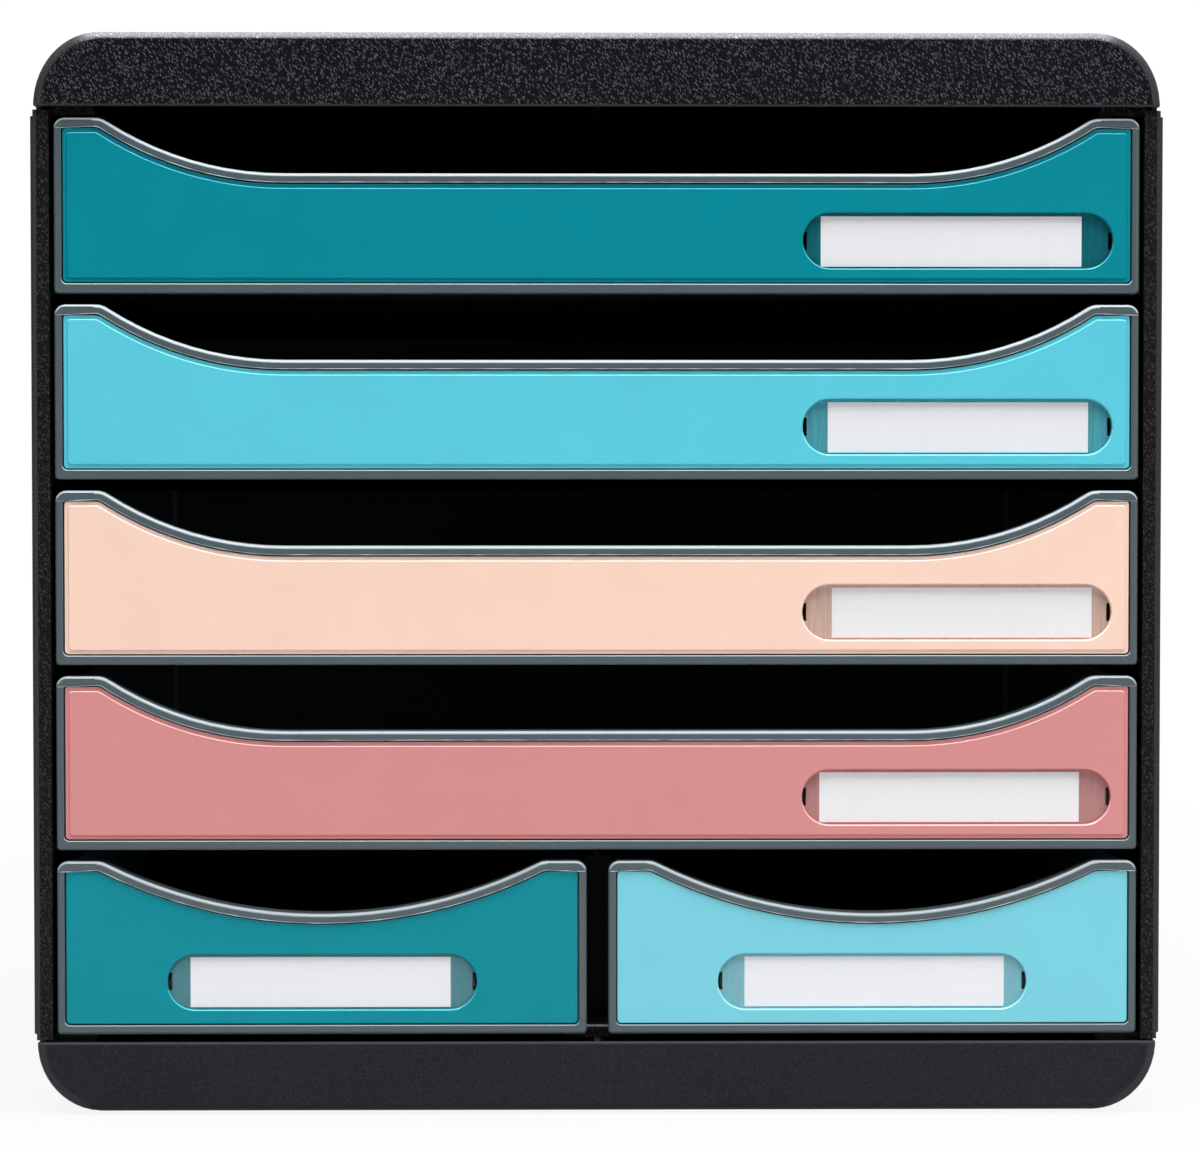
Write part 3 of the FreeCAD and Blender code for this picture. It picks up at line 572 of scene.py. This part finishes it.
# The flash's edge colour is a painted highlight on its upper edges.
flash_plastic = smooth_plastic("rim_flash", colour(150, 162, 168), shine=0.3, ripple=0.004,
                               edge=colour(185, 196, 201), gloss=0.6)
for material in (foot_rubber, screw_steel, flash_plastic):
    tell(material)

# %% [markdown]
# The pieces of the frame keep their meshes and their places. Only the material in their slots is
# exchanged. The six drawers repeat the same four pieces, so one loop over the drawers names them.

# %% Give the frame its finishes
def dress(node, material):
    """Puts a finish on a node of the frame."""
    for slot in nodes[node].material_slots:
        slot.material = material


dress("top_cap", cap_plastic)
dress("bottom_cap", base_plastic)
for node in ("left_side_panel", "right_side_panel", "back_panel", "centre_divider"):
    dress(node, panel_plastic)
dress("rubber_feet", foot_rubber)
dress("casing_screws", screw_steel)
for drawer, material in face_plastics.items():
    dress("tray_" + drawer, drawer_plastic)
    dress("face_panel_" + drawer, material)
    dress("label_window_" + drawer, window_clear)
    dress("paper_label_" + drawer, label_paper)
print("pieces of the frame with a finish:", len(nodes))

# %% [markdown]
# Where the two halves of a mould meet, a hair of plastic squeezes out and is trimmed off by hand.
# On these trays that line, called flash, runs along the inner edge of the rim from one side round
# the scoop to the other, and it catches the light as a thin broken line. It is far too fine for
# the frame, so it is made here: a thread with six sides whose thickness wanders along its way.

# %% The line along the rim
# All in millimetres, on the outlines of the trays' front frames.
RIM = 3.0
RIM_END = 2.45
PLATE_PLAY = 0.4
RIM_HEIGHT = 54.8
LIP_ROUND = 6.5
FLASH_INSET = 2.85
FLASH_OVER_SIDE = 3.3
FLASH_START = 0.4
WIDE_SCOOP = {"flat_half": 98.4, "radius": 102.0, "depth": 17.3}
SMALL_SCOOP = {"flat_half": 0.0, "radius": 152.5, "depth": 16.7}
ARC_STEPS = 25
FLASH_THIN = 0.05
FLASH_THICK = 0.17
FLASH_SIDES = 6
FLASH_STEP = 0.8
FLASH_WANDER = 3.2


def arc_points(x, z, radius, start, end):
    """Points of a circle in the front plane: its middle plus the radius turned by the angle."""
    turn = np.radians(np.linspace(start, end, ARC_STEPS))
    return np.stack([x + radius * np.cos(turn), z + radius * np.sin(turn)], -1)


def rim_line(half, flat_half, radius, depth):
    """The line's way about the drawer's middle and lower edge, in millimetres.

    From the side it crosses the rim, follows the level edge, turns over the lip on a circle, and
    follows the scoop's circle down. The lip's circle touches the level edge and the scoop's
    circle, so both middles lie one sum of radii apart, and the root of that sum's square less the
    square of their difference in height is the way between them along X. The left half mirrors
    the right.
    """
    top = RIM_HEIGHT - FLASH_INSET
    lip = LIP_ROUND - FLASH_INSET
    scoop = radius + FLASH_INSET
    scoop_z = RIM_HEIGHT - depth + radius
    rise = scoop_z - (top - lip)
    lip_x = flat_half + math.sqrt((scoop + lip) ** 2 - rise ** 2)
    angle = math.degrees(math.atan2(rise, lip_x - flat_half))
    side_z = RIM_HEIGHT - FLASH_OVER_SIDE
    side = np.array([[half - FLASH_START, side_z], [half - RIM_END, side_z]])
    right = np.concatenate([side, arc_points(lip_x, top - lip, lip, 90, 180 - angle),
                            arc_points(flat_half, scoop_z, scoop, -angle, -90)])
    points = np.concatenate([right, right[::-1] * (-1, 1)])
    length = np.concatenate([[0], np.cumsum(np.hypot(*np.diff(points, axis=0).T))])
    even = np.linspace(0, length[-1], int(length[-1] / FLASH_STEP))
    return np.stack([np.interp(even, length, points[:, 0]), np.interp(even, length, points[:, 1])], -1)


def thread_mesh(name, line, y, radius):
    """A closed thread: round each point of the line, six corners at that point's radius.

    A corner is the point plus the radius times the cosine of its turn along the direction across
    the line, and times the sine along Y. The direction across is the line's own, turned by 90
    degrees in the front plane.
    """
    ahead = np.gradient(line, axis=0)
    ahead /= np.linalg.norm(ahead, axis=1, keepdims=True)
    turn = np.linspace(0, 2 * np.pi, FLASH_SIDES, endpoint=False)
    across = np.stack([ahead[:, 1], np.zeros(len(line)), -ahead[:, 0]], -1)
    middle = np.stack([line[:, 0], np.full(len(line), y), line[:, 1]], -1)
    ring = np.cos(turn)[None, :, None] * across[:, None, :]
    ring = ring + np.sin(turn)[None, :, None] * np.array([0, 1, 0])
    points = middle[:, None, :] + ring * radius[:, None, None]
    index = np.arange(len(line) * FLASH_SIDES).reshape(len(line), FLASH_SIDES)
    beside = np.roll(index, -1, axis=1)
    quads = np.stack([index[:-1], beside[:-1], beside[1:], index[1:]], -1).reshape(-1, 4)
    ends = [index[0, ::-1].tolist(), index[-1].tolist()]
    mesh = bpy.data.meshes.new(name)
    mesh.from_pydata((points.reshape(-1, 3) * MM).tolist(), [], quads.tolist() + ends)
    mesh.validate()
    mesh.shade_smooth()
    return mesh


def rim_flash(drawer, seed):
    """The thin line along one drawer's rim, placed by the frame's face plate and front.

    Its radius runs between random knots, and their square keeps most of the line thin.
    """
    low, high = [np.array(corner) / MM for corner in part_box("face_panel_" + drawer)]
    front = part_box("tray_" + drawer)[0][1] / MM
    half = (high[0] - low[0]) / 2 + RIM_END + PLATE_PLAY
    scoop = WIDE_SCOOP if drawer.startswith("row") else SMALL_SCOOP
    line = rim_line(half, **scoop)
    dice = np.random.default_rng(seed)
    knots = dice.uniform(0, 1, int(2 * half / FLASH_WANDER) + 2)
    along = np.linspace(0, len(knots) - 1, len(line))
    radius = FLASH_THIN + (FLASH_THICK - FLASH_THIN) * np.interp(along, np.arange(len(knots)), knots) ** 2
    line = line + [(low[0] + high[0]) / 2, low[2] - RIM - PLATE_PLAY]
    name = "rim_flash_" + drawer
    piece = bpy.data.objects.new(name, thread_mesh(name, line, front, radius))
    bpy.context.scene.collection.objects.link(piece)
    piece.data.materials.append(flash_plastic)
    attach(piece, "drawer_" + drawer)
    return piece


for seed, drawer in enumerate(DRAWER_COLOURS):
    piece = rim_flash(drawer, seed)
    print(piece.name, len(piece.data.polygons), "faces")

# %% [markdown]
# The unit stands on a white sweep: a floor that turns up into a wall in one soft curve, so that no
# horizon shows. A plain white floor would need so much light that the unit burns out. So the
# camera, reflections and clear plastic see the sweep glow almost as pure white, and the tenth that
# is left to its own lit surface near the unit keeps the soft shadow.

# %% White sweep
SWEEP_NEAR = -1.15
SWEEP_BEND = 1.4
SWEEP_RADIUS = 0.8
SWEEP_TOP = 3.0
SWEEP_HALF_WIDTH = 3.5
SWEEP_GLOW_NEAR = 0.9
SWEEP_GLOW_FROM = 350.0
SWEEP_GLOW_TO = 1000.0
SWEEP_STEPS = 32
SWEEP_PAINT = (0.5, 0.5, 0.505, 1.0)


def sweep_profile(count):
    """Y and Z along the sweep: straight floor, quarter circle, straight wall."""
    turn = np.linspace(0, np.pi / 2, count)
    curve_y = SWEEP_BEND + SWEEP_RADIUS * np.sin(turn)
    curve_z = SWEEP_RADIUS * (1 - np.cos(turn))
    y = np.concatenate([[SWEEP_NEAR], curve_y, curve_y[-1:]])
    z = np.concatenate([[0.0], curve_z, [SWEEP_TOP]])
    return y, z


def grid_mesh(name, points):
    """A mesh from a grid of points, rows by columns by three, with one quad in each cell."""
    rows, columns = points.shape[:2]
    index = np.arange(rows * columns).reshape(rows, columns)
    quads = np.stack([index[:-1, :-1], index[:-1, 1:], index[1:, 1:], index[1:, :-1]], -1).reshape(-1, 4)
    mesh = bpy.data.meshes.new(name)
    mesh.from_pydata(points.reshape(-1, 3).tolist(), [], quads.tolist())
    mesh.validate()
    mesh.shade_smooth()
    return mesh


def white_sweep():
    """The floor and wall behind the unit: the profile carried along X."""
    y, z = sweep_profile(SWEEP_STEPS)
    x = np.array([-SWEEP_HALF_WIDTH, SWEEP_HALF_WIDTH])
    points = np.stack([np.broadcast_to(x[None, :], (len(y), 2)), np.broadcast_to(y[:, None], (len(y), 2)),
                       np.broadcast_to(z[:, None], (len(y), 2))], -1)
    sweep = bpy.data.objects.new("white_sweep", grid_mesh("white_sweep", points))
    bpy.context.scene.collection.objects.link(sweep)
    finish = Finish("sweep_white")
    finish.set(Base_Color=SWEEP_PAINT, Roughness=0.9)
    rays = finish.node("LightPath").outputs
    seen = Wire(finish.tree, rays["Is Camera Ray"]) + Wire(finish.tree, rays["Is Glossy Ray"])
    seen = seen + Wire(finish.tree, rays["Is Transmission Ray"])
    behind = finish.axis(finish.place(), "Y").smooth(SWEEP_GLOW_FROM, SWEEP_GLOW_TO)
    share = seen.maths("MINIMUM", 1.0) * (behind * (1 - SWEEP_GLOW_NEAR) + SWEEP_GLOW_NEAR)
    glow = finish.node("Emission", Color=(1.0, 1.0, 1.0, 1.0), Strength=1.0)
    finish.end_with(share, finish.shader.outputs[0], glow.outputs[0])
    sweep.data.materials.append(finish.material)
    return sweep


sweep = white_sweep()
print(sweep.name, "with", len(sweep.data.polygons), "faces")

# %% [markdown]
# Almost all the light comes from one very wide box high above and a little in front, as in a
# product studio. It draws the bright line along every rounded upper edge, and the floor throws it
# back up into the lower edges. Two weak boxes beside the camera only lift the sides, and one
# behind the unit lights its back.

# %% Lamps
def softbox(name, place, target, width, height, power):
    """A rectangular lamp that faces its target.

    It shines along its own -Z. The first turn tips that by the angle between straight down and the
    way to the target, and the last turns it to the target's side.
    """
    data = bpy.data.lights.new(name, "AREA")
    data.shape = "RECTANGLE"
    data.size = width
    data.size_y = height
    data.energy = power
    lamp = bpy.data.objects.new(name, data)
    lamp.location = place
    aim = np.array(target) - np.array(place)
    flat = math.hypot(aim[0], aim[1])
    lamp.rotation_euler = (math.atan2(flat, -aim[2]), 0, math.atan2(-aim[0], aim[1]))
    bpy.context.scene.collection.objects.link(lamp)
    return lamp


UNIT_MIDDLE = (0.0, 0.0, 0.17)
BELOW_TOP_BOX = (0.3, -0.75, 0.0)
lamps = [softbox("top_box", (0.3, -0.75, 2.3), BELOW_TOP_BOX, width=2.6, height=2.0, power=128.0),
         softbox("right_box", (1.6, -1.9, 0.7), UNIT_MIDDLE, width=1.2, height=1.2, power=7.0),
         softbox("left_box", (-1.6, -1.9, 0.7), UNIT_MIDDLE, width=1.2, height=1.2, power=4.0),
         softbox("back_box", (0.9, 1.3, 0.9), UNIT_MIDDLE, width=1.0, height=1.0, power=6.0)]
print("lamps, watts:", {lamp.name: lamp.data.energy for lamp in lamps})

# %% [markdown]
# The room is a plain white world. Its light would fill every shadow, so it is nearly switched off
# for everything but the camera, which still sees it white above the sweep.

# %% Room light
ROOM_LIGHT = 0.03
world = bpy.data.worlds.new("room")
world.use_nodes = True
room = world.node_tree
seen = room.nodes.new("ShaderNodeLightPath").outputs["Is Camera Ray"]
strength = Wire(room, seen).maths("MAXIMUM", ROOM_LIGHT)
feed(room, room.nodes["Background"].inputs["Strength"], strength)
room.nodes["Background"].inputs["Color"].default_value = (1.0, 1.0, 1.0, 1.0)
bpy.context.scene.world = world
bpy.context.scene.view_settings.view_transform = "Standard"
print("room light:", ROOM_LIGHT)

# %% [markdown]
